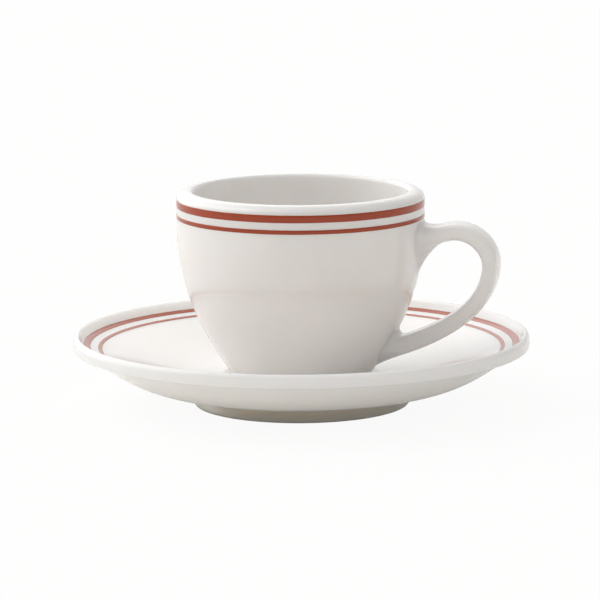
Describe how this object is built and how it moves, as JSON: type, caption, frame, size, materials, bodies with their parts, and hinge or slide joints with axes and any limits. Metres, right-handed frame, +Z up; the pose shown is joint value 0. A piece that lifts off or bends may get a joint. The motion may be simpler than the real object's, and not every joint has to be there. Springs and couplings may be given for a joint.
{
  "type": "espresso cup and saucer",
  "caption": "Small round porcelain cup with a loop handle and a rounded bowl, standing in the well of a shallow round saucer; painted bands run under the cup's rim and inside the saucer's.",
  "frame": {"origin": "centre of the saucer's foot ring, on the table that it stands on", "axes": "+Z up along the common axis of saucer and cup, +X from that axis towards the cup's handle"},
  "size_m": [0.12, 0.12, 0.0568],
  "materials": {
    "saucer_glaze": "glossy warm white glaze over porcelain",
    "saucer_band": "glossy rust brown colour fused into the glaze",
    "cup_glaze": "glossy warm white glaze over porcelain",
    "handle_glaze": "glossy warm white glaze over porcelain",
    "cup_band": "glossy rust brown colour fused into the glaze"
  },
  "bodies": {
    "saucer": {"saucer_dish": "saucer_glaze", "saucer_wide_band": "saucer_band", "saucer_narrow_band": "saucer_band"},
    "cup": {"cup_body": "cup_glaze", "cup_handle": "handle_glaze", "cup_wide_band": "cup_band", "cup_narrow_band": "cup_band"}
  },
  "joints": [
    {"name": "cup_lift", "type": "slide", "parent": "saucer", "child": "cup", "axis": [0, 0, 1], "range_m": [0, 0.08]}
  ]
}
